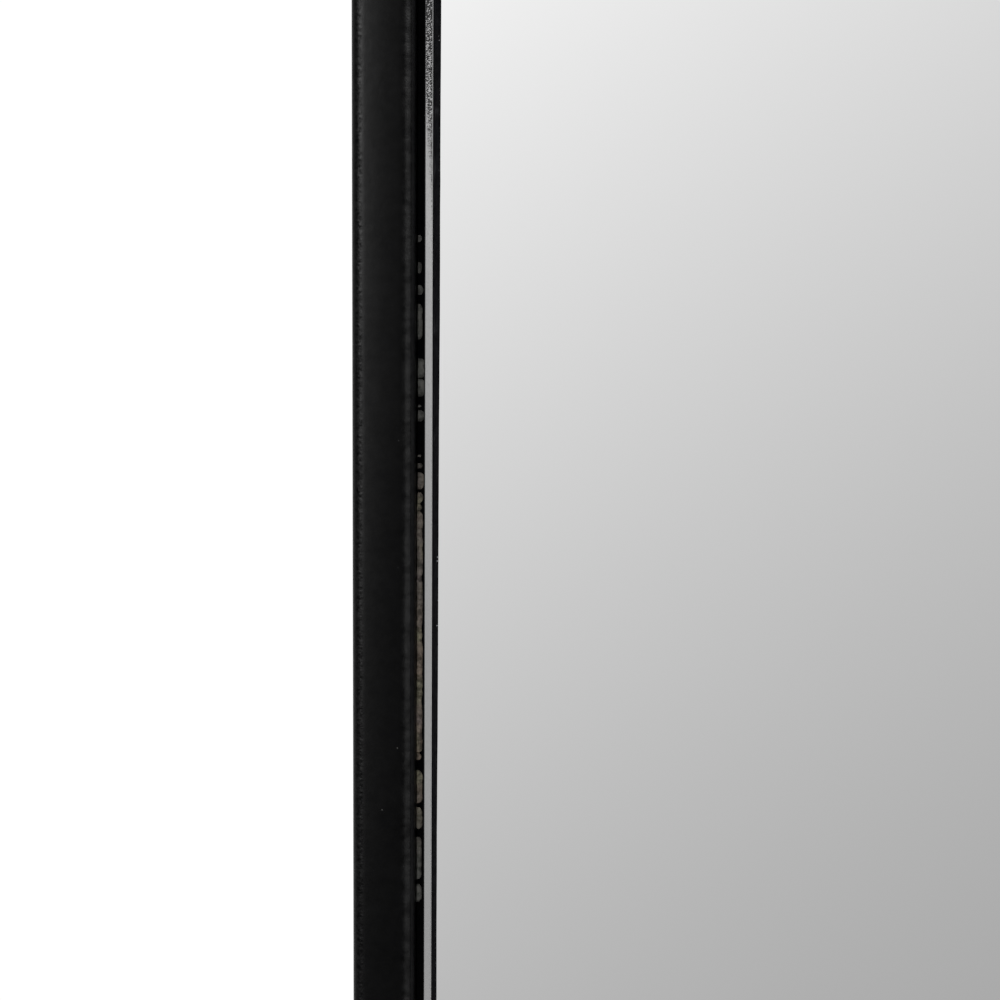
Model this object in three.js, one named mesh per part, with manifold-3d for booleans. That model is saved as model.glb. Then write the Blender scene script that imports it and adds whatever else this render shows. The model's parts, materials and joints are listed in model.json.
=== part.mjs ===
// Leaning floor mirror: a tall rectangular mirror in a black metal frame.
// Millimetres, +Z up. The mirror faces -Y. The origin is on the floor, in the
// middle of the width and of the depth.
//
// The frame is four mitred lengths of one hollow profile: a rounded 25 x 38 bar
// with a thin fin behind the mirror panel. Inside it, past a 4 mm shadow gap,
// a slim bevelled bead runs round the mirror and holds the glass, which lies
// 9.6 mm back from the front of the frame. The panel (glass, mounting tape and
// backing board) is screwed to the fin from behind.
import * as THREE from 'three';
import { mergeVertices } from 'three/addons/utils/BufferGeometryUtils.js';
import Module from 'manifold-3d';

// ---------------------------------------------------------------- dimensions
const WIDTH = 800;            // outside of the frame, left to right
const HEIGHT = 1800;          // floor to top
const PAD_T = 4;              // foot pads lift the frame off the floor
const BUMPER_T = 8;           // wall bumpers stand out behind the frame
const DEPTH = 38;             // frame bar, front to back
const Y0 = -(DEPTH + BUMPER_T) / 2;     // front of the frame
const Z0 = PAD_T;                       // underside of the bottom rail
const FRAME_H = HEIGHT - PAD_T;         // frame without the pads
const ZC = Z0 + FRAME_H / 2;

const BAR_W = 25;             // width of the bar's face
const BAR_R_FRONT = 5.5;      // big soft radius on both front edges
const BAR_R_BACK = 2;
const WALL = 1.6;             // wall of the hollow profile
const FIN_U = 47;             // the fin reaches this far in from the outside
const FIN_V0 = 22;            // front and back of the fin, from the frame's front
const FIN_V1 = 24;

const BEAD_U0 = 29;           // bead: outer side, 4 mm from the bar
const BEAD_U1 = 32.6;         // bead: inner side
const BEAD_FRONT = 1.0;       // bead's front edge, back from the frame's front
const BEAD_WEB = 1.2;
const FOOT_V0 = 10.2;         // the foot that closes the shadow gap
const FOOT_V1 = 11.7;

const GLASS_V = 9.6;          // front of the glass, back from the frame's front
const GLASS_T = 5;
const TAPE_T = 0.9;
const BOARD_T = 6;
const PANEL_U = 30.5;         // edge of the glass and of the board
const MITRE = 0.2;            // each mitred end stops this far short

const SCREW_R = 1.7;          // self-tapping screws
const HOLE_R = 2.05;
const HEAD_R = 3.6;
const HEAD_H = 2.0;

const KEY_LEG = 84;           // corner keys inside the hollow bars
const KEY_T = 4;

const BRACE_H = 40;           // flat bar across the back, half way up
const BRACE_T = 3;

const HANGER_Z = 1480;        // height of the ring pivots
const WIRE_R = 1.5;           // hanger ring wire
const PIVOT_OUT = 3.1;        // pivot, out from the back of the frame
const EYE_R = 2.9;            // rolled eye of the strap
const EYE_BORE = 1.75;
const STRAP_W = 12;
const STRAP_T = 1.2;

const SIDES = 12;             // sides of a small round

// ----------------------------------------------------------------- materials
const mat = (color, roughness, metalness) =>
  new THREE.MeshStandardMaterial({ color, roughness, metalness });
const coat = mat(0x1a1b1c, 0.42, 0.3);
const beadCoat = mat(0x202122, 0.18, 0.4);
const silver = mat(0xdfe1e1, 0.03, 1.0);
const silicone = mat(0x0d0d0e, 0.35, 0.0);
const board = mat(0x6d5845, 0.85, 0.0);
const tape = mat(0xb9b7b0, 0.8, 0.0);
const zinc = mat(0xa9aaa6, 0.35, 1.0);
const blackScrew = mat(0x1d1d1e, 0.35, 0.6);
const alu = mat(0xb4b6b8, 0.4, 1.0);
const rubber = mat(0x151515, 0.75, 0.0);

// ------------------------------------------------------------ solid modelling
const wasm = await Module();
wasm.setup();

function toSolid(geometry) {
  const g = geometry.index ? geometry.toNonIndexed() : geometry.clone();
  for (const name of Object.keys(g.attributes)) if (name !== 'position') g.deleteAttribute(name);
  const m = mergeVertices(g, 1e-4);
  const idx = m.index.array;
  const tris = [];
  for (let i = 0; i < idx.length; i += 3) {
    if (idx[i] !== idx[i + 1] && idx[i + 1] !== idx[i + 2] && idx[i] !== idx[i + 2]) {
      tris.push(idx[i], idx[i + 1], idx[i + 2]);
    }
  }
  return new wasm.Manifold(new wasm.Mesh({
    numProp: 3,
    vertProperties: new Float32Array(m.attributes.position.array),
    triVerts: new Uint32Array(tris),
  }));
}

function toGeometry(solid) {
  const m = solid.getMesh();
  const g = new THREE.BufferGeometry();
  const n = m.vertProperties.length / m.numProp;
  const pos = new Float32Array(n * 3);
  for (let i = 0; i < n; i += 1) {
    for (let k = 0; k < 3; k += 1) pos[3 * i + k] = m.vertProperties[i * m.numProp + k];
  }
  g.setAttribute('position', new THREE.BufferAttribute(pos, 3));
  g.setIndex([...m.triVerts]);
  g.computeVertexNormals();
  return g;
}

const cut = (geometry, ...tools) =>
  toGeometry(tools.reduce((s, t) => s.subtract(toSolid(t)), toSolid(geometry)));

// a cylinder along Y between two depths, for holes seen from the back
function boreY(x, z, r, ya, yb) {
  const g = new THREE.CylinderGeometry(r, r, yb - ya, SIDES);
  g.translate(x, (ya + yb) / 2, z);
  return g;
}

// ------------------------------------------------------------------- profiles
// A profile is drawn in u (in from the outside of the frame) and v (back from
// the front of the frame).
function roundedLoop(path, u0, v0, u1, v1, rFront, rBack, fin) {
  const Q = Math.PI / 2;
  path.moveTo(u0 + rFront, v0);
  path.lineTo(u1 - rFront, v0);
  path.absarc(u1 - rFront, v0 + rFront, rFront, -Q, 0, false);
  if (fin) {
    path.lineTo(u1, FIN_V0);
    path.lineTo(FIN_U - 0.5, FIN_V0);
    path.lineTo(FIN_U, FIN_V0 + 0.5);
    path.lineTo(FIN_U, FIN_V1 - 0.5);
    path.lineTo(FIN_U - 0.5, FIN_V1);
    path.lineTo(u1, FIN_V1);
  }
  path.lineTo(u1, v1 - rBack);
  path.absarc(u1 - rBack, v1 - rBack, rBack, 0, Q, false);
  path.lineTo(u0 + rBack, v1);
  path.absarc(u0 + rBack, v1 - rBack, rBack, Q, 2 * Q, false);
  path.lineTo(u0, v0 + rFront);
  path.absarc(u0 + rFront, v0 + rFront, rFront, 2 * Q, 3 * Q, false);
  return path;
}

function barProfile() {
  const s = roundedLoop(new THREE.Shape(), 0, 0, BAR_W, DEPTH, BAR_R_FRONT, BAR_R_BACK, true);
  s.holes.push(roundedLoop(new THREE.Path(), WALL, WALL, BAR_W - WALL, DEPTH - WALL,
    BAR_R_FRONT - WALL, 0.6, false));
  return s;
}

function poly(points) {
  return new THREE.Shape(points.map(([x, y]) => new THREE.Vector2(x, y)));
}

const beadProfile = () => poly([
  [BEAD_U0, BEAD_FRONT + 0.25], [BEAD_U0 + 0.2, BEAD_FRONT],
  [BEAD_U1 - 0.15, BEAD_FRONT + 1.65], [BEAD_U1, BEAD_FRONT + 1.9],
  [BEAD_U1, GLASS_V - 0.15], [BEAD_U0 + BEAD_WEB, GLASS_V - 0.15],
  [BEAD_U0 + BEAD_WEB, FIN_V0 - 0.3], [BEAD_U0, FIN_V0 - 0.3],
  [BEAD_U0, FOOT_V1], [BAR_W + 0.35, FOOT_V1],
  [BAR_W + 0.35, FOOT_V0], [BEAD_U0, FOOT_V0],
]);

const sealProfile = () => poly([
  [BEAD_U1 + 0.1, GLASS_V - 1.9], [BEAD_U1 + 0.55, GLASS_V - 0.9],
  [BEAD_U1 + 1.8, GLASS_V - 0.1], [BEAD_U1 + 0.1, GLASS_V - 0.1],
]);

// A length of profile with both ends mitred at 45 degrees.
function mitred(shape, length, curveSegments) {
  const g = new THREE.ExtrudeGeometry(shape, { depth: length, bevelEnabled: false, steps: 1, curveSegments });
  const p = g.attributes.position;
  for (let i = 0; i < p.count; i += 1) {
    const u = p.getX(i);
    p.setZ(i, p.getZ(i) < length / 2 ? u + MITRE : length - u - MITRE);
  }
  g.computeVertexNormals();
  return g;
}

// The four sides of the frame: where a length of profile stands in the object.
const QUARTER = Math.PI / 2;
const SIDE = {
  left: { at: [-WIDTH / 2, Y0, Z0], turn: 0, length: FRAME_H },
  right: { at: [WIDTH / 2, Y0, Z0 + FRAME_H], turn: 2 * QUARTER, length: FRAME_H },
  top: { at: [-WIDTH / 2, Y0, Z0 + FRAME_H], turn: QUARTER, length: WIDTH },
  bottom: { at: [WIDTH / 2, Y0, Z0], turn: -QUARTER, length: WIDTH },
};

function onSide(g, side) {
  const s = SIDE[side];
  const c = Math.round(Math.cos(s.turn));
  const n = Math.round(Math.sin(s.turn));
  g.applyMatrix4(new THREE.Matrix4().set(
    c, 0, n, s.at[0],
    0, 1, 0, s.at[1],
    -n, 0, c, s.at[2],
    0, 0, 0, 1,
  ));
  return g;
}

// --------------------------------------------------------------------- object
const mirror = new THREE.Group();
mirror.name = 'leaning_floor_mirror';
function add(name, geometry, material, parent = mirror) {
  const m = new THREE.Mesh(geometry, material);
  m.name = name;
  parent.add(m);
  return m;
}

// where each screw stands, seen from behind: x, z, depth of its head's seat,
// shank length
const X_FIN = WIDTH / 2 - 38;
const Z_FIN_TOP = Z0 + FRAME_H - 38;
const Z_FIN_BOTTOM = Z0 + 38;
const BACK = Y0 + DEPTH;
const FIN_BACK = Y0 + FIN_V1;
const X_BAR = WIDTH / 2 - BAR_W / 2;
const Z_BAR_TOP = Z0 + FRAME_H - BAR_W / 2;
const Z_BAR_BOTTOM = Z0 + BAR_W / 2;
const KEY_SCREW = 52;
const screws = [];
const put = (name, x, z, seat, length, kind) => screws.push({ name, x, z, seat, length, kind });

put('panel_screw_left_lower', -X_FIN, ZC - 560, FIN_BACK, 7.0, 'panel');
put('panel_screw_left_upper', -X_FIN, ZC + 560, FIN_BACK, 7.0, 'panel');
put('panel_screw_right_lower', X_FIN, ZC - 560, FIN_BACK, 7.0, 'panel');
put('panel_screw_right_upper', X_FIN, ZC + 560, FIN_BACK, 7.0, 'panel');
put('panel_screw_top_left', -190, Z_FIN_TOP, FIN_BACK, 7.0, 'panel');
put('panel_screw_top_right', 190, Z_FIN_TOP, FIN_BACK, 7.0, 'panel');
put('panel_screw_bottom_left', -190, Z_FIN_BOTTOM, FIN_BACK, 7.0, 'panel');
put('panel_screw_bottom_right', 190, Z_FIN_BOTTOM, FIN_BACK, 7.0, 'panel');

for (const [v, z] of [['top', Z0 + FRAME_H - KEY_SCREW], ['bottom', Z0 + KEY_SCREW]]) {
  put(`key_screw_${v}_left_stile`, -X_BAR, z, BACK, 6.0, 'key');
  put(`key_screw_${v}_right_stile`, X_BAR, z, BACK, 6.0, 'key');
  const zr = v === 'top' ? Z_BAR_TOP : Z_BAR_BOTTOM;
  put(`key_screw_${v}_left_rail`, -WIDTH / 2 + KEY_SCREW, zr, BACK, 6.0, 'key');
  put(`key_screw_${v}_right_rail`, WIDTH / 2 - KEY_SCREW, zr, BACK, 6.0, 'key');
}

const BRACE_Y0 = FIN_BACK + 0.15;
const BRACE_Y1 = BRACE_Y0 + BRACE_T;
const X_BRACE = WIDTH / 2 - 36;
put('brace_screw_left_lower', -X_BRACE, ZC - 12, BRACE_Y1, 5.0, 'brace');
put('brace_screw_left_upper', -X_BRACE, ZC + 12, BRACE_Y1, 5.0, 'brace');
put('brace_screw_right_lower', X_BRACE, ZC - 12, BRACE_Y1, 5.0, 'brace');
put('brace_screw_right_upper', X_BRACE, ZC + 12, BRACE_Y1, 5.0, 'brace');

const STRAP_SEAT = BACK + 0.1 + STRAP_T;
put('hanger_screw_left_upper', -X_BAR, HANGER_Z - 26, STRAP_SEAT, 6.5, 'hanger');
put('hanger_screw_left_lower', -X_BAR, HANGER_Z - 40, STRAP_SEAT, 6.5, 'hanger');
put('hanger_screw_right_upper', X_BAR, HANGER_Z - 26, STRAP_SEAT, 6.5, 'hanger');
put('hanger_screw_right_lower', X_BAR, HANGER_Z - 40, STRAP_SEAT, 6.5, 'hanger');

const bores = (kinds, inside, ya, yb, r = HOLE_R) => screws
  .filter((s) => kinds.includes(s.kind) && inside(s))
  .map((s) => boreY(s.x, s.z, r, ya, yb));

// frame: four mitred lengths, drilled for the screws
const inSide = {
  left: (s) => s.x < -WIDTH / 2 + 48 && s.z > Z0 + 48 && s.z < Z0 + FRAME_H - 48,
  right: (s) => s.x > WIDTH / 2 - 48 && s.z > Z0 + 48 && s.z < Z0 + FRAME_H - 48,
  top: (s) => s.z > Z0 + FRAME_H - 48 && Math.abs(s.x) < WIDTH / 2 - 48,
  bottom: (s) => s.z < Z0 + 48 && Math.abs(s.x) < WIDTH / 2 - 48,
};
for (const [side, name] of [['left', 'stile_left'], ['right', 'stile_right'], ['top', 'rail_top'], ['bottom', 'rail_bottom']]) {
  const bar = onSide(mitred(barProfile(), SIDE[side].length, 7), side);
  add(name, cut(bar,
    ...bores(['panel', 'brace'], inSide[side], Y0 + FIN_V0 - 1, Y0 + FIN_V1 + 1),
    ...bores(['key', 'hanger'], inSide[side], BACK - WALL - 1, BACK + 1)), coat);
}

// corner keys: flat L plates inside the hollow bars, against their back walls
const KEY_EDGE = 2.1;
const KEY_W = BAR_W - 2 * KEY_EDGE;
const KEY_Y1 = BACK - WALL - 0.4;
for (const [v, sz] of [['top', -1], ['bottom', 1]]) {
  for (const [h, sx] of [['left', 1], ['right', -1]]) {
    const cx = -sx * WIDTH / 2;
    const cz = sz > 0 ? Z0 : Z0 + FRAME_H;
    const pts = [[KEY_EDGE, KEY_EDGE], [KEY_LEG, KEY_EDGE], [KEY_LEG, KEY_EDGE + KEY_W],
      [KEY_EDGE + KEY_W, KEY_EDGE + KEY_W], [KEY_EDGE + KEY_W, KEY_LEG], [KEY_EDGE, KEY_LEG]];
    const g = new THREE.ExtrudeGeometry(poly(pts.map(([a, b]) => [cx + sx * a, -(cz + sz * b)])),
      { depth: KEY_T, bevelEnabled: false, steps: 1 });
    g.rotateX(-Math.PI / 2);            // (x, -z, d) to (x, d, z)
      g.translate(0, KEY_Y1 - KEY_T, 0);
    add(`corner_key_${v}_${h}`, cut(g, ...bores(['key'],
      (s) => Math.abs(s.x - cx) < KEY_LEG && Math.abs(s.z - cz) < KEY_LEG,
      KEY_Y1 - KEY_T - 1, KEY_Y1 + 1)), zinc);
  }
}

// bevelled bead round the mirror and the seal between it and the glass
for (const side of ['left', 'right', 'top', 'bottom']) {
  add(`bead_${side}`, onSide(mitred(beadProfile(), SIDE[side].length, 1), side), beadCoat);
  add(`glass_seal_${side}`, onSide(mitred(sealProfile(), SIDE[side].length, 1), side), silicone);
}

// mirror panel
const PANEL_W = WIDTH - 2 * PANEL_U;
const PANEL_H = FRAME_H - 2 * PANEL_U;
const slab = (w, t, h, x, y, z) => new THREE.BoxGeometry(w, t, h).translate(x, y + t / 2, z);
const GLASS_Y = Y0 + GLASS_V;
add('mirror_glass', slab(PANEL_W, GLASS_T, PANEL_H, 0, GLASS_Y, ZC), silver);
const TAPE_Y = GLASS_Y + GLASS_T + 0.1;
for (const [name, x] of [['left', -260], ['centre', 0], ['right', 260]]) {
  add(`mounting_tape_${name}`, slab(60, TAPE_T, PANEL_H - 120, x, TAPE_Y, ZC), tape);
}
const BOARD_Y = TAPE_Y + TAPE_T + 0.1;
add('backing_board', cut(slab(PANEL_W, BOARD_T, PANEL_H, 0, BOARD_Y, ZC),
  ...bores(['panel'], () => true, BOARD_Y + 0.8, BOARD_Y + BOARD_T + 2)), board);

// brace across the back of the panel, screwed to the fins
add('back_brace', cut(slab(WIDTH - 2 * BAR_W - 1.2, BRACE_T, BRACE_H, 0, BRACE_Y0, ZC),
  ...bores(['brace'], () => true, BRACE_Y0 - 1, BRACE_Y1 + 1)), alu);

// screws: domed head with a cross recess, plain shank
function screw(length, turn) {
  const profile = [[0, -length], [SCREW_R - 0.7, -length], [SCREW_R, -length + 1.2],
    [SCREW_R, 0.12], [HEAD_R, 0.12], [HEAD_R, 0.75], [HEAD_R - 0.5, 1.35],
    [HEAD_R - 1.6, 1.85], [0, HEAD_H]];
  const g = new THREE.LatheGeometry(profile.map(([r, y]) => new THREE.Vector2(r, y)), SIDES);
  const slot = (a) => new THREE.BoxGeometry(3.7, 1.6, 0.75).rotateY(turn + a)
    .translate(0, HEAD_H - 0.2, 0);
  return cut(g, slot(0), slot(QUARTER));
}
screws.forEach((s, i) => {
  const g = screw(s.length, 0.35 + (i * 1.13) % QUARTER);
  g.translate(s.x, s.seat, s.z);
  add(s.name, g, s.kind === 'hanger' ? zinc : blackScrew);
});

// hangers: a strap with a rolled eye on each stile, and a ring that swings in it
const PIVOT_Y = BACK + PIVOT_OUT;
function strap() {
  // in y (out from the back of the frame) and z (from the pivot), extruded along x
  const s = new THREE.Shape();
  const base = 0.1;
  const top = base + STRAP_T;
  const a0 = Math.asin((PIVOT_OUT - top) / EYE_R);
  s.moveTo(base, -46);
  s.lineTo(top - 0.3, -46);
  s.lineTo(top, -45.6);
  s.lineTo(top, -EYE_R * Math.cos(a0));
  // round the eye: under, out, over and back to the base
  s.absarc(PIVOT_OUT, 0, EYE_R, -QUARTER - (QUARTER - a0) + QUARTER * 0, QUARTER * 2 - 0.35, false);
  s.lineTo(base, -0.6);
  const hole = new THREE.Path();
  hole.absarc(PIVOT_OUT, 0, EYE_BORE, 0, Math.PI * 2, true);
  s.holes.push(hole);
  const g = new THREE.ExtrudeGeometry(s, { depth: STRAP_W, bevelEnabled: false, steps: 1, curveSegments: 14 });
  // shape x is object y, shape y is object z, extrusion is object x
  g.applyMatrix4(new THREE.Matrix4().set(
    0, 0, 1, -STRAP_W / 2,
    1, 0, 0, 0,
    0, 1, 0, 0,
    0, 0, 0, 1,
  ));
  return g;
}

function ringPath() {
  const a = 10.2;             // half width of the wire's centre line
  const r = 3;
  const pts = [];
  const arc = (cx, cz, rad, from, to, n) => {
    for (let i = 0; i <= n; i += 1) {
      const t = from + ((to - from) * i) / n;
      pts.push(new THREE.Vector3(cx + rad * Math.cos(t), 0, cz + rad * Math.sin(t)));
    }
  };
  pts.push(new THREE.Vector3(-0.25, 0, 0));
  pts.push(new THREE.Vector3(-3.6, 0, 0));
  arc(-a + r, -r, r, QUARTER, 2 * QUARTER, 4);
  arc(0, -8.0, a, 2 * QUARTER, 4 * QUARTER, 14);
  arc(a - r, -r, r, 0, QUARTER, 4);
  pts.push(new THREE.Vector3(3.6, 0, 0));
  pts.push(new THREE.Vector3(0.25, 0, 0));
  return new THREE.CatmullRomCurve3(pts, false, 'centripetal');
}

function ring() {
  const section = new THREE.Shape();
  section.absarc(0, 0, WIRE_R, 0, Math.PI * 2, false);
  return new THREE.ExtrudeGeometry(section, {
    extrudePath: ringPath(), steps: 44, curveSegments: 5, bevelEnabled: false,
  });
}

for (const [h, x] of [['left', -X_BAR], ['right', X_BAR]]) {
  const s = strap().translate(x, BACK, HANGER_Z);
  add(`hanger_strap_${h}`, cut(s, ...bores(['hanger'], (k) => Math.sign(k.x) === Math.sign(x),
    BACK - 1, BACK + 2)), zinc);
  add(`hanger_ring_${h}`, ring().translate(x, PIVOT_Y, HANGER_Z), zinc);
}

// rubber bumpers on the back, near the corners
for (const [v, z] of [['top', Z0 + FRAME_H - 105], ['bottom', Z0 + 105]]) {
  for (const [h, x] of [['left', -X_BAR], ['right', X_BAR]]) {
    const g = new THREE.LatheGeometry([[0, 0.1], [9.2, 0.1], [9.5, 0.5], [8.4, BUMPER_T - 1.6],
      [7.0, BUMPER_T - 0.3], [6.2, BUMPER_T], [0, BUMPER_T]].map(([r, y]) => new THREE.Vector2(r, y)), 24);
    g.translate(x, BACK, z);
    add(`wall_bumper_${v}_${h}`, g, rubber);
  }
}

// foot pads under the bottom rail
function footPad(x) {
  const L = 80;
  const D = 34;
  const r = 8;
  const s = new THREE.Shape();
  s.moveTo(-L / 2 + r, -D / 2);
  s.lineTo(L / 2 - r, -D / 2);
  s.absarc(L / 2 - r, -D / 2 + r, r, -QUARTER, 0, false);
  s.absarc(L / 2 - r, D / 2 - r, r, 0, QUARTER, false);
  s.absarc(-L / 2 + r, D / 2 - r, r, QUARTER, 2 * QUARTER, false);
  s.absarc(-L / 2 + r, -D / 2 + r, r, 2 * QUARTER, 3 * QUARTER, false);
  const g = new THREE.ExtrudeGeometry(s, { depth: PAD_T - 0.1, bevelEnabled: false, steps: 1, curveSegments: 6 });
  g.translate(x, Y0 + DEPTH / 2, 0);
  return g;
}
add('foot_pad_left', footPad(-WIDTH / 2 + 120), rubber);
add('foot_pad_right', footPad(WIDTH / 2 - 120), rubber);

export default mirror;
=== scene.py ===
import json
import math
import random

import bpy
import bmesh
from mathutils import Matrix, Vector, noise


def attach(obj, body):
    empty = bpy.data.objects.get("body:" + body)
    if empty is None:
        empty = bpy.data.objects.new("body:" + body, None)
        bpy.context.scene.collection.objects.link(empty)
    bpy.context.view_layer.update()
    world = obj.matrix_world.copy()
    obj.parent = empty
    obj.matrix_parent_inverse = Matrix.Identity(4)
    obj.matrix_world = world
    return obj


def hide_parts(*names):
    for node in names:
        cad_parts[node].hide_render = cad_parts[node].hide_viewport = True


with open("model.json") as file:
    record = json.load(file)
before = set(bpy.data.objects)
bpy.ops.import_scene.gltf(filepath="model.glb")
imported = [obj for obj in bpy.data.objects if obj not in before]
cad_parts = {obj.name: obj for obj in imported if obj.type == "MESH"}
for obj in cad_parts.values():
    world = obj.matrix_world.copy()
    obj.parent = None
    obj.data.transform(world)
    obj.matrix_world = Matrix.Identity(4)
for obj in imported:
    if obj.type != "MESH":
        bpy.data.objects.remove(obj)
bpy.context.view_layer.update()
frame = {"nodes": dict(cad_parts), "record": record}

# --------------------------------------------------------------------------
# Dimensions, in metres, the same as the frame's
# --------------------------------------------------------------------------
MM = 0.001
W = 0.800
Y0 = -0.023
Z0 = 0.004
FH = 1.796

scene = bpy.context.scene
scene.view_settings.view_transform = "Standard"
scene.view_settings.look = "None"
scene.view_settings.exposure = 0.0
scene.view_settings.gamma = 1.0

# --------------------------------------------------------------------------
# Camera: a long lens close to the left stile, a little from the right and
# from above
# --------------------------------------------------------------------------
CAM = (-0.2394, -0.9363, 1.1645)
YAW, PITCH, ROLL = math.radians(6.319), math.radians(-7.101), math.radians(0.332)


def make_camera():
    data = bpy.data.cameras.new("camera")
    data.lens = 85
    data.sensor_width = 36
    data.clip_start = 0.02
    data.clip_end = 60
    cam = bpy.data.objects.new("camera", data)
    scene.collection.objects.link(cam)
    fwd = Vector((-math.sin(YAW) * math.cos(PITCH), math.cos(YAW) * math.cos(PITCH), math.sin(PITCH)))
    right = Vector((math.cos(YAW), math.sin(YAW), 0))
    up = right.cross(fwd)
    r = right * math.cos(ROLL) + up * math.sin(ROLL)
    u = up * math.cos(ROLL) - right * math.sin(ROLL)
    m = Matrix((r, u, -fwd)).transposed().to_4x4()
    m.translation = Vector(CAM)
    cam.matrix_world = m
    scene.camera = cam
    return cam


make_camera()


# --------------------------------------------------------------------------
# Materials
# --------------------------------------------------------------------------
class Mat:
    """A small helper to write node materials in object space, in metres."""

    def __init__(self, name):
        self.m = bpy.data.materials.new(name)
        self.m.use_nodes = True
        self.t = self.m.node_tree
        self.t.nodes.clear()
        self.out = self.t.nodes.new("ShaderNodeOutputMaterial")
        self.b = self.t.nodes.new("ShaderNodeBsdfPrincipled")
        self.t.links.new(self.b.outputs[0], self.out.inputs[0])
        self.co = self.t.nodes.new("ShaderNodeTexCoord").outputs["Object"]

    def link(self, a, b):
        self.t.links.new(a, b)

    def set(self, **kw):
        names = {"color": "Base Color", "metal": "Metallic", "rough": "Roughness", "ior": "IOR",
                 "spec": "Specular IOR Level", "coat": "Coat Weight", "coat_rough": "Coat Roughness"}
        for k, v in kw.items():
            s = self.b.inputs[names[k]]
            if hasattr(v, "is_linked"):
                self.link(v, s)
            else:
                s.default_value = v
        return self

    def scaled(self, sx, sy, sz):
        n = self.t.nodes.new("ShaderNodeMapping")
        n.inputs["Scale"].default_value = (sx, sy, sz)
        self.link(self.co, n.inputs["Vector"])
        return n.outputs[0]

    def noise(self, scale, detail=2.0, rough=0.5, co=None, distortion=0.0):
        n = self.t.nodes.new("ShaderNodeTexNoise")
        n.inputs["Scale"].default_value = scale
        n.inputs["Detail"].default_value = detail
        n.inputs["Roughness"].default_value = rough
        n.inputs["Distortion"].default_value = distortion
        self.link(co or self.co, n.inputs["Vector"])
        return n.outputs["Fac"]

    def voronoi(self, scale, feature="F1", co=None, rand=1.0, out="Distance"):
        n = self.t.nodes.new("ShaderNodeTexVoronoi")
        n.feature = feature
        n.inputs["Scale"].default_value = scale
        n.inputs["Randomness"].default_value = rand
        self.link(co or self.co, n.inputs["Vector"])
        return n.outputs[out]

    def specks(self, scale, radius, share):
        """Small round specks: one cell in 1/share has one, of that radius in cells."""
        n = self.t.nodes.new("ShaderNodeTexVoronoi")
        n.inputs["Scale"].default_value = scale
        self.link(self.co, n.inputs["Vector"])
        s = self.t.nodes.new("ShaderNodeSeparateColor")
        self.link(n.outputs["Color"], s.inputs[0])
        near = self.remap(n.outputs["Distance"], radius * 0.5, radius, 1.0, 0.0)
        pick = self.math("LESS_THAN", s.outputs[0], share)
        size = self.math("MULTIPLY", near, pick)
        return self.math("MULTIPLY", size, self.remap(s.outputs[1], 0.0, 1.0, 0.35, 1.0))

    def math(self, op, a, b=None, c=None, clamp=False):
        n = self.t.nodes.new("ShaderNodeMath")
        n.operation = op
        n.use_clamp = clamp
        for i, v in enumerate((a, b, c)):
            if v is None:
                continue
            if hasattr(v, "is_linked"):
                self.link(v, n.inputs[i])
            else:
                n.inputs[i].default_value = v
        return n.outputs[0]

    def remap(self, v, a, b, c, d, smooth=False):
        n = self.t.nodes.new("ShaderNodeMapRange")
        n.interpolation_type = "SMOOTHSTEP" if smooth else "LINEAR"
        n.clamp = True
        self.link(v, n.inputs["Value"])
        for i, x in enumerate((a, b, c, d)):
            n.inputs[1 + i].default_value = x
        return n.outputs["Result"]

    def mix(self, f, a, b):
        n = self.t.nodes.new("ShaderNodeMix")
        n.data_type = "RGBA"
        for s, v in ((n.inputs[0], f), (n.inputs[6], a), (n.inputs[7], b)):
            if hasattr(v, "is_linked"):
                self.link(v, s)
            elif isinstance(v, (int, float)):
                s.default_value = v
            else:
                s.default_value = (*v, 1)
        return n.outputs[2]

    def bump(self, height, distance, normal=None, strength=1.0):
        n = self.t.nodes.new("ShaderNodeBump")
        n.inputs["Strength"].default_value = strength
        n.inputs["Distance"].default_value = distance
        self.link(height, n.inputs["Height"])
        if normal is not None:
            self.link(normal, n.inputs["Normal"])
        return n.outputs[0]

    def normal(self, n):
        self.link(n, self.b.inputs["Normal"])
        return self

    def axis(self, i):
        n = self.t.nodes.new("ShaderNodeSeparateXYZ")
        self.link(self.co, n.inputs[0])
        return n.outputs[i]


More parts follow.
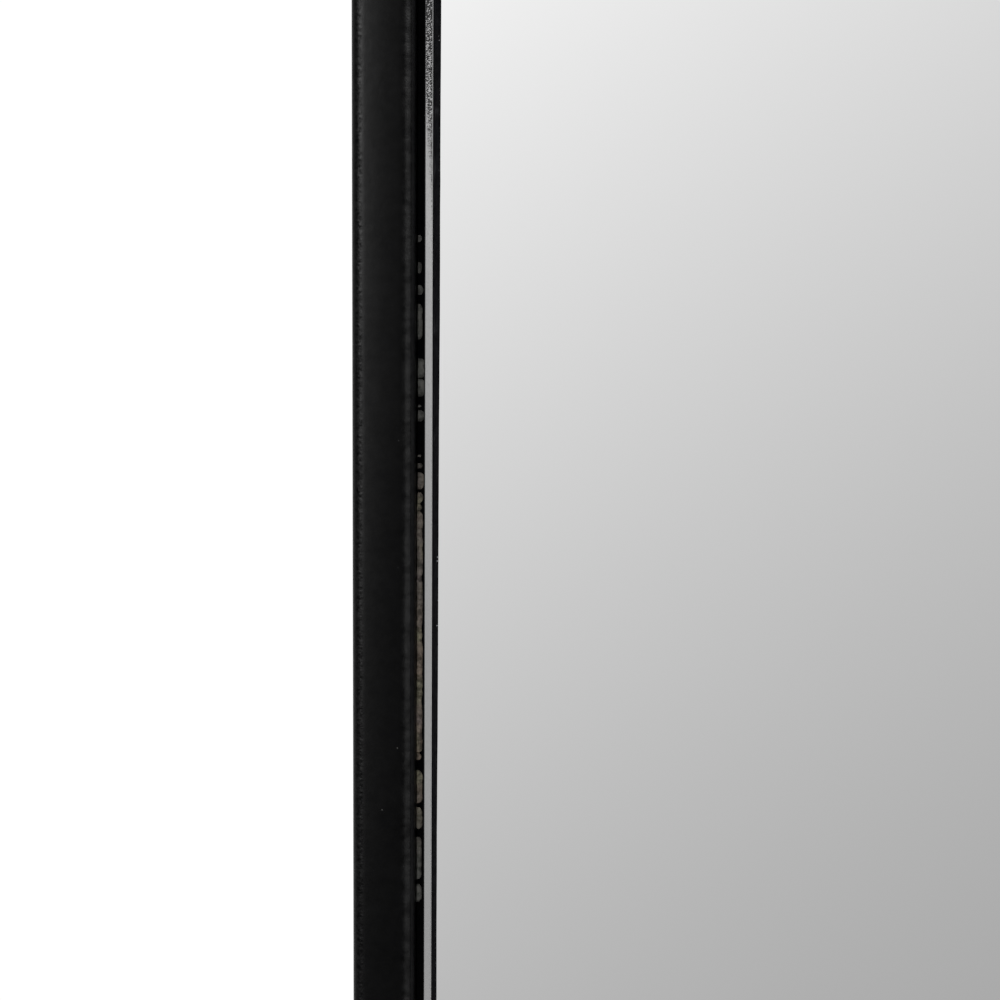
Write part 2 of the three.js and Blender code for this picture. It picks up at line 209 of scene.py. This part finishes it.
def coat_material(name="powder_coat_satin", low=(0.0003, 0.0003, 0.0004), high=(0.0008, 0.0008, 0.0009)):
    """Satin black powder coat: nearly smooth on the flats, with an orange peel and slow waves along the corners."""
    k = Mat(name)
    waves = k.noise(300, 1.0, 0.5)
    dimples = k.noise(520, 2.0, 0.6, k.scaled(0.8, 0.8, 1.0))
    peel = k.noise(1500, 2.0, 0.55, k.scaled(0.55, 0.55, 1.0))
    cloud = k.noise(75, 3.0, 0.6)
    specks = k.specks(160, 0.055, 0.10)
    geo = k.t.nodes.new("ShaderNodeNewGeometry")
    xyz = k.t.nodes.new("ShaderNodeSeparateXYZ")
    k.link(geo.outputs["True Normal"], xyz.inputs[0])
    corner = k.remap(xyz.outputs[1], -0.995, -0.975, 0.0, 1.0, True)
    col = k.mix(k.remap(cloud, 0.3, 0.7, 0.0, 1.0), low, high)
    col = k.mix(k.math("MULTIPLY", specks, 0.5), col, (0.20, 0.20, 0.19))
    # the gloss is uneven along the corners: small flecks on one side, longer blots on the other, faint clouds between
    flecks = k.remap(k.noise(900, 2.5, 0.6, k.scaled(0.6, 0.6, 1.0)), 0.32, 0.68, 0.25, 1.75)
    blots = k.remap(k.noise(330, 1.0, 0.5, k.scaled(0.5, 0.5, 1.0)), 0.34, 0.66, 0.66, 1.34)
    steep = k.remap(xyz.outputs[0], -0.74, -0.48, 0.0, 1.0)
    flecks = k.math("ADD", 1.0, k.math("MULTIPLY", steep, k.math("SUBTRACT", flecks, 1.0)))
    side = k.remap(xyz.outputs[0], -0.12, 0.12, 0.0, 1.0)
    uneven = k.math("ADD", k.math("MULTIPLY", flecks, k.math("SUBTRACT", 1.0, side)), k.math("MULTIPLY", blots, side))
    gloss = k.math("ADD", 1.0, k.math("MULTIPLY", corner, k.math("SUBTRACT", uneven, 1.0)))
    gloss = k.math("MULTIPLY", gloss, k.remap(k.noise(260, 2.0, 0.6), 0.3, 0.7, 0.88, 1.12))
    k.set(color=col, rough=k.remap(cloud, 0.25, 0.75, 0.325, 0.365), spec=k.math("MULTIPLY", gloss, 0.046))
    corner = k.math("ADD", k.math("MULTIPLY", corner, 0.85), 0.15)
    n = k.bump(waves, 0.00012)
    k.link(corner, n.node.inputs["Strength"])
    left = k.math("MULTIPLY", k.math("MULTIPLY", corner, steep), k.math("SUBTRACT", 1.0, side))
    n = k.bump(dimples, 0.00020, n)
    k.link(left, n.node.inputs["Strength"])
    n = k.bump(peel, 0.00010, n)
    k.link(corner, n.node.inputs["Strength"])
    return k.normal(n).m


def bead_material(name="enamel_bead", rough=0.07, spec=0.85):
    """Semi-gloss black enamel with fine grit in it: here and there a grain leans down and catches other light."""
    k = Mat(name)
    sand = k.noise(1900, 1.5, 0.6)
    nick = k.specks(220, 0.06, 0.06)
    col = k.mix(k.remap(sand, 0.3, 0.7, 0.0, 1.0), (0.0025, 0.0025, 0.0025), (0.005, 0.005, 0.005))
    k.set(color=k.mix(nick, col, (0.03, 0.03, 0.03)), rough=k.remap(nick, 0.0, 1.0, rough, 0.5), spec=spec)
    grit = k.t.nodes.new("ShaderNodeTexVoronoi")
    grit.inputs["Scale"].default_value = 2700
    k.link(k.co, grit.inputs["Vector"])
    rgb = k.t.nodes.new("ShaderNodeSeparateColor")
    k.link(grit.outputs["Color"], rgb.inputs[0])
    lean = k.math("MULTIPLY", k.math("LESS_THAN", rgb.outputs[0], 0.36), k.remap(rgb.outputs[1], 0.0, 1.0, -0.03, -0.09))
    lean = k.math("ADD", lean, k.remap(rgb.outputs[2], 0.0, 1.0, -0.006, 0.006))
    down = k.t.nodes.new("ShaderNodeCombineXYZ")
    k.link(lean, down.inputs[2])
    add = k.t.nodes.new("ShaderNodeVectorMath")
    add.operation = "ADD"
    k.link(k.bump(sand, 0.000012), add.inputs[0])
    k.link(down.outputs[0], add.inputs[1])
    unit = k.t.nodes.new("ShaderNodeVectorMath")
    unit.operation = "NORMALIZE"
    k.link(add.outputs[0], unit.inputs[0])
    return k.normal(unit.outputs[0]).m


def inner_material():
    """The bead's hidden sides: dead matt black."""
    k = Mat("matt_black_sides")
    a = k.noise(700, 2.0, 0.5)
    specks = k.specks(260, 0.07, 0.05)
    col = k.mix(k.remap(a, 0.3, 0.7, 0.0, 1.0), (0.0032, 0.0032, 0.0036), (0.0058, 0.0058, 0.0064))
    k.set(color=k.mix(k.math("MULTIPLY", specks, 0.6), col, (0.12, 0.12, 0.12)), rough=0.9, spec=0.0)
    return k.normal(k.bump(a, 0.00003)).m


def mirror_material():
    k = Mat("mirror_silver")
    haze = k.noise(2.2, 2.0, 0.5)
    k.set(color=(0.93, 0.93, 0.93, 1), metal=1.0, rough=k.remap(haze, 0.3, 0.7, 0.0, 0.006))
    return k.m


def seal_material():
    """Matt black silicone with fine dust caught in it."""
    k = Mat("silicone_black")
    skin = k.noise(260, 2.0, 0.5)
    dust = k.math("MAXIMUM", k.specks(480, 0.17, 0.15), k.math("MULTIPLY", k.specks(190, 0.075, 0.06), 0.9))
    smear = k.remap(k.noise(70, 3.0, 0.6), 0.62, 0.74, 0.0, 0.10)
    col = k.mix(k.remap(skin, 0.3, 0.7, 0.0, 1.0), (0.0042, 0.0042, 0.0048), (0.0078, 0.0078, 0.0088))
    col = k.mix(smear, col, (0.12, 0.12, 0.13))
    col = k.mix(dust, col, (0.34, 0.34, 0.36))
    k.set(color=col, rough=k.remap(skin, 0.3, 0.7, 0.55, 0.7), spec=0.0)
    return k.normal(k.bump(skin, 0.00006)).m


def adhesive_material():
    """Dry adhesive: grey to tan, with pinkish and yellowish stretches."""
    k = Mat("adhesive_dry")
    grain = k.noise(700, 3.0, 0.6)
    tone = k.noise(38, 1.0, 0.5)
    tone2 = k.noise(85, 1.0, 0.5)
    col = k.mix(k.remap(tone, 0.38, 0.62, 0.0, 1.0), (0.46, 0.40, 0.35), (0.58, 0.46, 0.36))
    col = k.mix(k.remap(tone2, 0.52, 0.66, 0.0, 1.0), col, (0.62, 0.57, 0.40))
    col = k.mix(k.remap(tone2, 0.30, 0.44, 1.0, 0.0), col, (0.54, 0.43, 0.44))
    # towards the ends of the run it thins out and takes the coat's grey
    z = k.axis(2)
    mid = k.math("MULTIPLY", k.remap(z, 0.895, 0.945, 0.0, 1.0, True), k.remap(z, 1.040, 1.075, 1.0, 0.0, True))
    col = k.mix(mid, (0.25, 0.25, 0.23), col)
    thin = k.noise(420, 2.0, 0.6)
    col = k.mix(k.remap(thin, 0.42, 0.62, 0.0, 0.70), col, (0.030, 0.030, 0.028))
    col = k.mix(k.remap(grain, 0.35, 0.65, 0.35, 0.0), col, (0.07, 0.065, 0.06))
    k.set(color=col, rough=0.55, spec=0.25)
    return k.normal(k.bump(grain, 0.00008)).m


def board_material():
    k = Mat("fibreboard")
    fibre = k.noise(900, 3.0, 0.6, k.scaled(1.0, 1.0, 0.35))
    cloud = k.noise(9, 4.0, 0.6)
    fleck = k.specks(420, 0.16, 0.25)
    col = k.mix(k.remap(fibre, 0.3, 0.7, 0.0, 1.0), (0.185, 0.118, 0.068), (0.30, 0.205, 0.128))
    col = k.mix(k.remap(cloud, 0.35, 0.7, 0.0, 0.35), col, (0.15, 0.095, 0.055))
    col = k.mix(k.math("MULTIPLY", fleck, 0.6), col, (0.07, 0.045, 0.028))
    k.set(color=col, rough=k.remap(fibre, 0.3, 0.7, 0.6, 0.78), spec=0.25)
    return k.normal(k.bump(fibre, 0.00004)).m


def tape_material():
    k = Mat("foam_tape")
    cells = k.voronoi(1600)
    k.set(color=k.mix(cells, (0.62, 0.61, 0.58), (0.5, 0.49, 0.46)), rough=0.85, spec=0.2)
    return k.normal(k.bump(cells, 0.00008)).m


def brushed(name, base, dark, rough, along):
    k = Mat(name)
    lines = k.noise(1.0, 3.0, 0.6, k.scaled(*{"x": (6, 1400, 1400), "z": (1400, 1400, 6)}[along]))
    smudge = k.noise(18, 3.0, 0.6)
    k.set(color=k.mix(k.remap(lines, 0.3, 0.7, 0.0, 1.0), dark, base), metal=1.0,
          rough=k.math("ADD", k.remap(lines, 0.3, 0.7, rough - 0.06, rough + 0.08), k.remap(smudge, 0.4, 0.75, 0.0, 0.08)))
    return k.normal(k.bump(lines, 0.000012)).m


def cast_material():
    k = Mat("die_cast_zinc")
    a = k.noise(700, 3.0, 0.6)
    k.set(color=k.mix(a, (0.36, 0.36, 0.35), (0.52, 0.52, 0.5)), metal=1.0, rough=k.remap(a, 0.3, 0.7, 0.42, 0.6))
    return k.normal(k.bump(a, 0.00004)).m


def zinc_material():
    k = Mat("zinc_plate")
    spangle = k.noise(500, 3.0, 0.6)
    smudge = k.noise(120, 3.0, 0.6)
    col = k.mix(k.remap(spangle, 0.3, 0.7, 0.0, 1.0), (0.50, 0.50, 0.47), (0.68, 0.68, 0.67))
    col = k.mix(k.remap(smudge, 0.45, 0.75, 0.0, 0.35), col, (0.44, 0.40, 0.30))
    k.set(color=col, metal=1.0, rough=k.remap(smudge, 0.3, 0.7, 0.24, 0.4))
    return k.normal(k.bump(spangle, 0.000015)).m


def screw_material():
    k = Mat("black_zinc")
    a = k.noise(900, 3.0, 0.6)
    k.set(color=k.mix(a, (0.05, 0.05, 0.052), (0.12, 0.12, 0.122)), metal=0.9, rough=k.remap(a, 0.3, 0.7, 0.26, 0.42))
    return k.normal(k.bump(a, 0.000015)).m


def rubber_material():
    k = Mat("black_rubber")
    a = k.noise(1400, 3.0, 0.6)
    bloom = k.noise(90, 3.0, 0.6)
    k.set(color=k.mix(k.remap(bloom, 0.35, 0.7, 0.0, 1.0), (0.011, 0.011, 0.011), (0.024, 0.024, 0.025)),
          rough=k.remap(a, 0.3, 0.7, 0.6, 0.8), spec=0.35)
    return k.normal(k.bump(a, 0.00004)).m


COAT = coat_material()
COAT_GAP_WALL_LIT = coat_material("powder_coat_gap_wall_lit", (0.0055, 0.0055, 0.0058), (0.0095, 0.0095, 0.0098))     # a lighter copy of the coat for the gap's wall: painted light, its colour lifted so that the wall reads as lit
BEAD = bead_material()
EDGE = bead_material("enamel_bead_edge", 0.28, 0.25)
INNER = inner_material()
SEAL = seal_material()
GLUE = adhesive_material()
BY_SLOT = {
    "frame_coat": COAT,
    "bead_coat": BEAD,
    "mirror": mirror_material(),
    "sealant": SEAL,
    "foam_tape": tape_material(),
    "backing": board_material(),
    "brace": brushed("mill_aluminium", (0.74, 0.75, 0.76), (0.6, 0.61, 0.62), 0.34, "x"),
    "corner_keys": cast_material(),
    "zinc_plate": zinc_material(),
    "black_screws": screw_material(),
    "rubber": rubber_material(),
}
for part in frame["record"]["subparts"]:
    o = frame["nodes"].get(part["node"])
    if o is not None:
        mats = o.data.materials
        if not mats:
            mats.append(None)
        for i in range(len(mats)):
            mats[i] = BY_SLOT[part["material_slot"]]


# --------------------------------------------------------------------------
# Meshes
# --------------------------------------------------------------------------
def place(side, u, v, w):
    """A point of a side: u in from the outside, v back from the front, w along it (millimetres)."""
    if side == "left":
        return Vector((-W / 2 + u * MM, Y0 + v * MM, Z0 + w * MM))
    if side == "right":
        return Vector((W / 2 - u * MM, Y0 + v * MM, Z0 + FH - w * MM))
    if side == "top":
        return Vector((-W / 2 + w * MM, Y0 + v * MM, Z0 + FH - u * MM))
    return Vector((W / 2 - w * MM, Y0 + v * MM, Z0 + u * MM))


LENGTH = {"left": FH / MM, "right": FH / MM, "top": W / MM, "bottom": W / MM}
SIDES = ("left", "right", "top", "bottom")


def finish_mesh(name, bm, mats, smooth_angle=35):
    bmesh.ops.recalc_face_normals(bm, faces=bm.faces)
    for f in bm.faces:
        f.smooth = True
    limit = math.radians(smooth_angle)
    for e in bm.edges:
        e.smooth = len(e.link_faces) == 2 and e.calc_face_angle(0.0) <= limit
    me = bpy.data.meshes.new(name)
    bm.to_mesh(me)
    bm.free()
    for m in mats:
        me.materials.append(m)
    o = bpy.data.objects.new(name, me)
    scene.collection.objects.link(o)
    return o


def sweep(name, outline, side, mats, stations=None, gap=0.12, warp=None, smooth_angle=35, slots=None):
    """A closed outline [(u, v), ...] swept along a side with both ends mitred."""
    L = LENGTH[side]
    ts = stations or [0.0, 1.0]
    bm = bmesh.new()
    rings = []
    for t in ts:
        ring = []
        for i, (u, v) in enumerate(outline):
            a, b = u + gap, L - u - gap
            w = a + (b - a) * t
            uu, vv = (u, v) if warp is None else warp(i, u, v, w)
            ring.append(bm.verts.new(place(side, uu, vv, w)))
        rings.append(ring)
    n = len(outline)
    for r0, r1 in zip(rings, rings[1:]):
        for i in range(n):
            j = (i + 1) % n
            f = bm.faces.new((r0[i], r0[j], r1[j], r1[i]))
            if slots:
                f.material_index = slots[i]
    for ring in (rings[0], list(reversed(rings[-1]))):
        f = bm.faces.new(ring)
        if slots:
            f.material_index = max(slots)
    return finish_mesh(name, bm, mats, smooth_angle)


class Turtle:
    """Draws an outline by its outward normal: 0 degrees faces the front, 90 the mirror's middle, 180 the back."""

    def __init__(self, u, v):
        self.p = [(u, v)]

    def arc(self, r, a0, a1, n):
        u, v = self.p[-1]
        for i in range(1, n + 1):
            a = math.radians(a0 + (a1 - a0) * i / n)
            b = math.radians(a0)
            s = 1 if a1 > a0 else -1
            self.p.append((u + s * r * (math.sin(a) - math.sin(b)), v - s * r * (math.cos(a) - math.cos(b))))
        return self

    def bow(self, length, a0, a1, n):
        """A nearly straight stretch whose normal turns from a0 to a1."""
        r = length / math.radians(abs(a1 - a0))
        return self.arc(r, a0, a1, n)

    def to(self, u, v):
        self.p.append((u, v))
        return self


CROWN, EASE = 4.0, 13.0


def bar_outline():
    """The tube: a barely crowned face that eases into two soft front corners, and the fin behind."""
    s, e = math.sin(math.radians(CROWN)), math.sin(math.radians(EASE))
    flat = 25.0 - 2 * 5.0 * (1 - e) - 2 * 14.0 * (e - s)
    t = Turtle(0.0, 0.0)
    t.arc(5.0, -90, -EASE, 16).arc(14.0, -EASE, -CROWN, 6)
    t.bow(flat / 2 / s * math.radians(CROWN) * 2, -CROWN, CROWN, 14)
    t.arc(14.0, CROWN, EASE, 6).arc(5.0, EASE, 90, 16)
    dv = min(v for u, v in t.p)
    p = [(u, v - dv) for u, v in t.p]

    def arc(cx, cy, r, a0, a1, n):
        return [(cx + r * math.cos(math.radians(a0 + (a1 - a0) * i / n)),
                 cy + r * math.sin(math.radians(a0 + (a1 - a0) * i / n))) for i in range(n + 1)]

    p += arc(25.8, 21.2, 0.8, 180, 90, 5)           # root of the fin
    p += arc(46.6, 22.4, 0.4, -90, 0, 3) + arc(46.6, 23.6, 0.4, 0, 90, 3)
    p += arc(25.8, 24.8, 0.8, 270, 180, 5)
    p += arc(23.0, 36.0, 2.0, 0, 90, 8)
    p += arc(2.0, 36.0, 2.0, 90, 180, 8)
    return p


def bead_outline():
    """The bevelled head, the web behind it and the foot that closes the gap, with each stretch's finish."""
    a0, a1, r0, r1 = 24.0, 30.0, 0.40, 1.6
    s0, s1 = math.sin(math.radians(a0)), math.sin(math.radians(a1))
    across = 3.5 - r0 * (1 + s0) - r1 * (1 - s1)
    t = Turtle(29.1, 1.45)
    t.arc(r0, -90, a0, 12)
    t.bow(across / math.cos(math.radians((a0 + a1) / 2)), a0, a1, 10)
    t.arc(r1, a1, 90, 10)
    p = t.p
    first, last = 9, len(p) - 1 - 7                # the rubbed-up stretch, between two matt edges
    u = p[-1][0]
    p = p + [(u, 9.45), (30.2, 9.45), (30.2, 21.7), (29.1, 21.7), (29.1, 11.7), (25.35, 11.7),
             (25.35, 10.2), (28.7, 10.2), (28.98, 10.08), (29.1, 9.8)]
    slots = [0 if first <= i < last else 1 if i == last else 2 for i in range(len(p))]
    return p, slots


def ride(o, slot, *nodes, body="frame"):
    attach(o, body)
    if nodes:
        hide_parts(*nodes)
    return o


BAR_P = bar_outline()
# from halfway round the inner corner to the fin: the gap's wall, which takes the lighter copy of the coat (painted
# light)
BAR_SLOTS = [1 if 50 <= i <= 58 else 0 for i in range(len(BAR_P))]
BEAD_P, BEAD_SLOTS = bead_outline()
for side, node in (("left", "stile_left"), ("right", "stile_right"), ("top", "rail_top"), ("bottom", "rail_bottom")):
    ride(sweep("frame_" + node, BAR_P, side, [COAT, COAT_GAP_WALL_LIT], gap=0.10, slots=BAR_SLOTS), "frame_coat", node)
    ride(sweep("bevelled_bead_" + side, BEAD_P, side, [BEAD, EDGE, INNER], gap=0.08, slots=BEAD_SLOTS),
         "bead_coat", "bead_" + side)


def wobble(seed, w, wavelength):
    return noise.noise(Vector((w / wavelength, seed * 7.31, 0.37)))


# the left run by height, in metres and millimetres
LEFT_SEAL = [(0.0, 1.1), (0.62, 1.5), (0.76, 0.70), (0.849, 0.61), (0.925, 1.00), (0.965, 1.10), (1.007, 1.145), (1.048, 1.28),
             (1.087, 1.46), (1.127, 1.55), (1.165, 1.58), (1.24, 1.77), (1.36, 1.6), (1.52, 1.0), (1.8, 1.3)]


def seal_width(side, w):
    """How far the silicone reaches over the glass, in millimetres."""
    k = SIDES.index(side)
    if side == "left":
        z = Z0 + w * MM
        s = LEFT_SEAL[-1][1]
        for (z0, s0), (z1, s1) in zip(LEFT_SEAL, LEFT_SEAL[1:]):
            if z0 <= z < z1:
                s = s0 + (s1 - s0) * (z - z0) / (z1 - z0)
    else:
        s = 1.25 + 0.9 * wobble(k + 1, w, 400)
    return max(0.5, s + 0.10 * wobble(11 + k, w, 40) + 0.05 * wobble(17 + k, w, 7))


# a hollow fillet of silicone that climbs the bead's wall in a thin skin
SEAL_PROFILE = [(0.0, 1.0), (0.05, 0.62), (0.17, 0.34), (0.38, 0.15), (0.68, 0.05), (1.0, 0.0)]
for side in SIDES:
    k = SIDES.index(side)
    n = int(LENGTH[side] / 5)
    outline = [(32.62, 3.6), (32.68, 3.6)] + [(32.7 + 1.3 * a, 9.53 - 1.2 * b) for a, b in SEAL_PROFILE] + [(34.0, 9.58), (32.62, 9.58)]

    def warp(i, u, v, w, side=side, k=k):
        top = 3.3 + 0.25 * wobble(41 + k, w, 30) + 0.15 * wobble(43 + k, w, 6)
        if i == 0:
            return 32.61, top
        if i == 1:
            return 32.64 + 0.03 * wobble(47 + k, w, 9), top + 0.1
        s = seal_width(side, w)
        h = 1.25 + 0.5 * wobble(29 + k, w, 55)
        if i < 2 + len(SEAL_PROFILE):
            a, b = SEAL_PROFILE[i - 2]
            return 32.70 + (s - 0.1) * a, 9.53 - h * b
        return (32.6 + s, 9.58) if i == 2 + len(SEAL_PROFILE) else (32.61, 9.58)

    ride(sweep("silicone_" + side, outline, side, [SEAL], [i / n for i in range(n + 1)], gap=0.3, warp=warp, smooth_angle=80),
         "sealant", "glass_seal_" + side)


def adhesive(side, spans, seed):
    """Dry adhesive squeezed out along the bead's foot, down in the shadow gap, in patches (from, to, width)."""
    bm = bmesh.new()
    for a, b, wide in spans:
        n = max(5, int((b - a) / 0.8))
        rows = []
        for i in range(n + 1):
            w = a + (b - a) * i / n
            e = min(1.0, min(i, n - i) * (b - a) / n / 1.8)
            k = wide * (0.42 + 0.58 * math.sqrt(e)) * (1 + 0.16 * wobble(seed, w, 9) + 0.18 * wobble(seed + 3, w, 2.6))
            k = max(0.2, min(k, 3.0))
            lift = (0.15 + 0.35 * e) * (1 + 0.5 * wobble(seed + 5, w, 4)) * min(1.0, wide / 1.2)
            u0 = 25.60 + 0.12 * wobble(seed + 7, w, 12) + (0.25 if a > 1041.0 else 0.0)
            pts = [(u0 - 0.50, 10.19), (u0 - 0.46, 10.10 - lift * 0.6), (u0, 10.12 - lift), (u0 + 0.32 * k, 10.18 - 1.1 * lift),
                   (u0 + 0.72 * k, 10.18 - 0.8 * lift), (u0 + 0.96 * k, 10.18 - 0.25 * lift), (u0 + k, 10.19)]
            rows.append([bm.verts.new(place(side, u, v, w)) for u, v in pts])
        for r0, r1 in zip(rows, rows[1:]):
            for i in range(len(r0)):
                j = (i + 1) % len(r0)
                bm.faces.new((r0[i], r0[j], r1[j], r1[i]))
        bm.faces.new(rows[0])
        bm.faces.new(list(reversed(rows[-1])))
    return ride(finish_mesh("gap_adhesive_" + side, bm, [GLUE], 80), "sealant")


# where it shows beside the glass on the left, from the foot up: (from, to, width) in millimetres
LEFT_RUN = [
    (879.5, 886.9, 1.55), (889.0, 906.6, 1.60), (909.9, 918.9, 1.70), (920.6, 934.1, 1.85),
    (938.4, 941.2, 1.55), (941.5, 1039.6, 1.72), (1039.9, 1042.7, 1.80), (1042.8, 1047.2, 1.90),
    (1048.4, 1055.2, 1.95), (1056.8, 1058.9, 1.70), (1061.4, 1062.2, 1.30),
    (1075.5, 1080.0, 2.47), (1081.2, 1082.0, 1.32), (1085.4, 1092.4, 2.47), (1092.8, 1100.4, 2.47),
    (1108.0, 1122.0, 1.32), (1125.6, 1129.4, 1.82), (1133.9, 1138.4, 1.08), (1146.2, 1149.0, 1.20),
]


def random_run(side, seed):
    rnd = random.Random(seed)
    w, spans = 70.0, []
    while True:
        run = rnd.choice((rnd.uniform(3, 16), rnd.uniform(14, 90)))
        if w + run > LENGTH[side] - 70:
            return spans
        spans.append((w, w + run, rnd.uniform(0.9, 1.9)))
        w += run + rnd.choice((rnd.uniform(0.6, 4), rnd.uniform(10, 190)))


adhesive("left", [s for s in random_run("left", 8) if s[1] < 800.0] + LEFT_RUN
         + [s for s in random_run("left", 9) if s[0] > 1290.0], 3)
adhesive("right", random_run("right", 21), 23)
adhesive("top", random_run("top", 31), 33)
adhesive("bottom", random_run("bottom", 41), 43)


# --------------------------------------------------------------------------
# Floor, background and light
# --------------------------------------------------------------------------
def make_floor():
    bm = bmesh.new()
    bmesh.ops.create_circle(bm, cap_ends=True, radius=2.35, segments=128)
    o = finish_mesh("studio_floor", bm, [])
    k = Mat("studio_floor")
    t = k.t
    fine = k.noise(60, 3.0, 0.6)
    k.set(color=k.mix(fine, (0.80, 0.80, 0.795), (0.84, 0.84, 0.835)), rough=0.7, spec=0.3)
    length = t.nodes.new("ShaderNodeVectorMath")
    length.operation = "LENGTH"
    k.link(k.co, length.inputs[0])
    fade = k.remap(length.outputs["Value"], 1.3, 2.3, 1.0, 0.0, smooth=True)
    clear = t.nodes.new("ShaderNodeBsdfTransparent")
    mix = t.nodes.new("ShaderNodeMixShader")
    k.link(fade, mix.inputs[0])
    k.link(clear.outputs[0], mix.inputs[1])
    k.link(k.b.outputs[0], mix.inputs[2])
    k.link(mix.outputs[0], k.out.inputs[0])
    o.data.materials.append(k.m)
    return o


FLOOR = make_floor()


def make_world():
    """White behind the object; in front of it a soft grey that darkens downwards and to the right."""
    w = bpy.data.worlds.new("studio")
    scene.world = w
    w.use_nodes = True
    t = w.node_tree
    t.nodes.clear()
    new = t.nodes.new

    def val(op, a, b=None):
        n = new("ShaderNodeMath")
        n.operation = op
        for i, v in enumerate((a, b)):
            if v is None:
                continue
            if hasattr(v, "is_linked"):
                t.links.new(v, n.inputs[i])
            else:
                n.inputs[i].default_value = v
        return n.outputs[0]

    d = new("ShaderNodeTexCoord").outputs["Generated"]
    s = new("ShaderNodeSeparateXYZ")
    t.links.new(d, s.inputs[0])
    raw = val("SUBTRACT", val("MULTIPLY", s.outputs[0], 0.74), s.outputs[2])
    q = val("MINIMUM", val("MAXIMUM", raw, -0.30), 0.62)
    # 0.730 - 1.039 q + 0.714 q^2
    grey = val("ADD", val("MULTIPLY", val("SUBTRACT", val("MULTIPLY", q, 0.714), 1.039), q), 0.730)
    grey = val("MINIMUM", grey, 1.0)
    # higher up it darkens again
    high = new("ShaderNodeMapRange")
    high.interpolation_type = "SMOOTHSTEP"
    t.links.new(raw, high.inputs["Value"])
    for i, x in enumerate((-0.76, -0.36, 0.60, 1.0)):
        high.inputs[1 + i].default_value = x
    grey = val("MULTIPLY", grey, high.outputs["Result"])
    behind = new("ShaderNodeMapRange")
    behind.interpolation_type = "SMOOTHSTEP"
    t.links.new(s.outputs[1], behind.inputs["Value"])
    for i, x in enumerate((-0.30, 0.30, 0.0, 1.0)):
        behind.inputs[1 + i].default_value = x
    f = behind.outputs["Result"]
    total = val("ADD", val("MULTIPLY", grey, val("SUBTRACT", 1.0, f)), val("MULTIPLY", f, 1.03))
    bg = new("ShaderNodeBackground")
    t.links.new(total, bg.inputs["Strength"])
    bg.inputs["Color"].default_value = (1, 1, 1, 1)
    out = new("ShaderNodeOutputWorld")
    t.links.new(bg.outputs[0], out.inputs[0])


make_world()


# the softboxes leave out the glass, so that their shapes don't stand in the mirror, and the floor, which they'd burn out
UNLIT = bpy.data.collections.new("beside_the_softboxes")
for i, o in enumerate((frame["nodes"]["mirror_glass"], FLOOR)):
    UNLIT.objects.link(o)
    UNLIT.collection_objects[i].light_linking.link_state = "EXCLUDE"


def softbox(name, az, dist, width, bands, target=(-0.385, -0.022, 1.05), roll=0.0, about=0.0, accent=False):
    """A tall softbox seen from the stile az degrees right of straight out of the mirror, rolled about a height.
    bands: (low z, high z, radiance). An accent only draws highlights and leaves the floor and matt surfaces alone."""
    a = math.radians(az)
    face = Vector((-math.sin(a), math.cos(a), 0))                     # from the light towards the stile
    right = Vector((math.cos(a), math.sin(a), 0))
    c, s = math.cos(math.radians(roll)), math.sin(math.radians(roll))
    foot = Vector((target[0] + dist * math.sin(a), target[1] - dist * math.cos(a), 0))
    x = right * c + Vector((0, 0, s))
    y = Vector((0, 0, c)) - right * s
    pivot = foot + Vector((0, 0, about))
    for i, (z0, z1, rad) in enumerate(bands):
        d = bpy.data.lights.new("%s_%d" % (name, i), "AREA")
        d.shape = "RECTANGLE"
        d.size, d.size_y = width, z1 - z0
        d.energy = rad * math.pi * width * (z1 - z0)
        o = bpy.data.objects.new("%s_%d" % (name, i), d)
        scene.collection.objects.link(o)
        m = Matrix((x, y, x.cross(y))).transposed().to_4x4()
        mid = (z0 + z1) / 2
        m.translation = pivot + y * (mid - pivot.z)
        o.matrix_world = m
        if (m.to_3x3() @ Vector((0, 0, -1))).dot(face) < 0:
            o.matrix_world = m @ Matrix.Rotation(math.pi, 4, "Y")
        o.visible_camera = False
        o.visible_diffuse = not accent
        o.light_linking.receiver_collection = UNLIT


# right: what the bead's bevel shows. It ends in a slanted top edge
softbox("softbox_right", 50, 1.3, 0.86,
        [(0.08, 0.58, 3.8), (0.58, 0.78, 4.2), (0.78, 0.96, 4.45), (0.96, 1.10, 5.0), (1.10, 1.205, 5.6)],
        roll=-12, about=1.205)
softbox("softbox_right_top", 52, 1.4, 0.80, [(1.50, 2.40, 24.0)], accent=True)
softbox("softbox_far_right", 88, 1.5, 0.90, [(0.10, 1.00, 6.2), (1.00, 2.00, 5.2)], accent=True)
# left: the line along the stile's outer corner, bright at the top and faint below
softbox("softbox_left", -34, 1.6, 0.66, [(0.50, 0.80, 4.0), (0.80, 1.18, 9.5), (1.18, 2.30, 23.0)], accent=True)
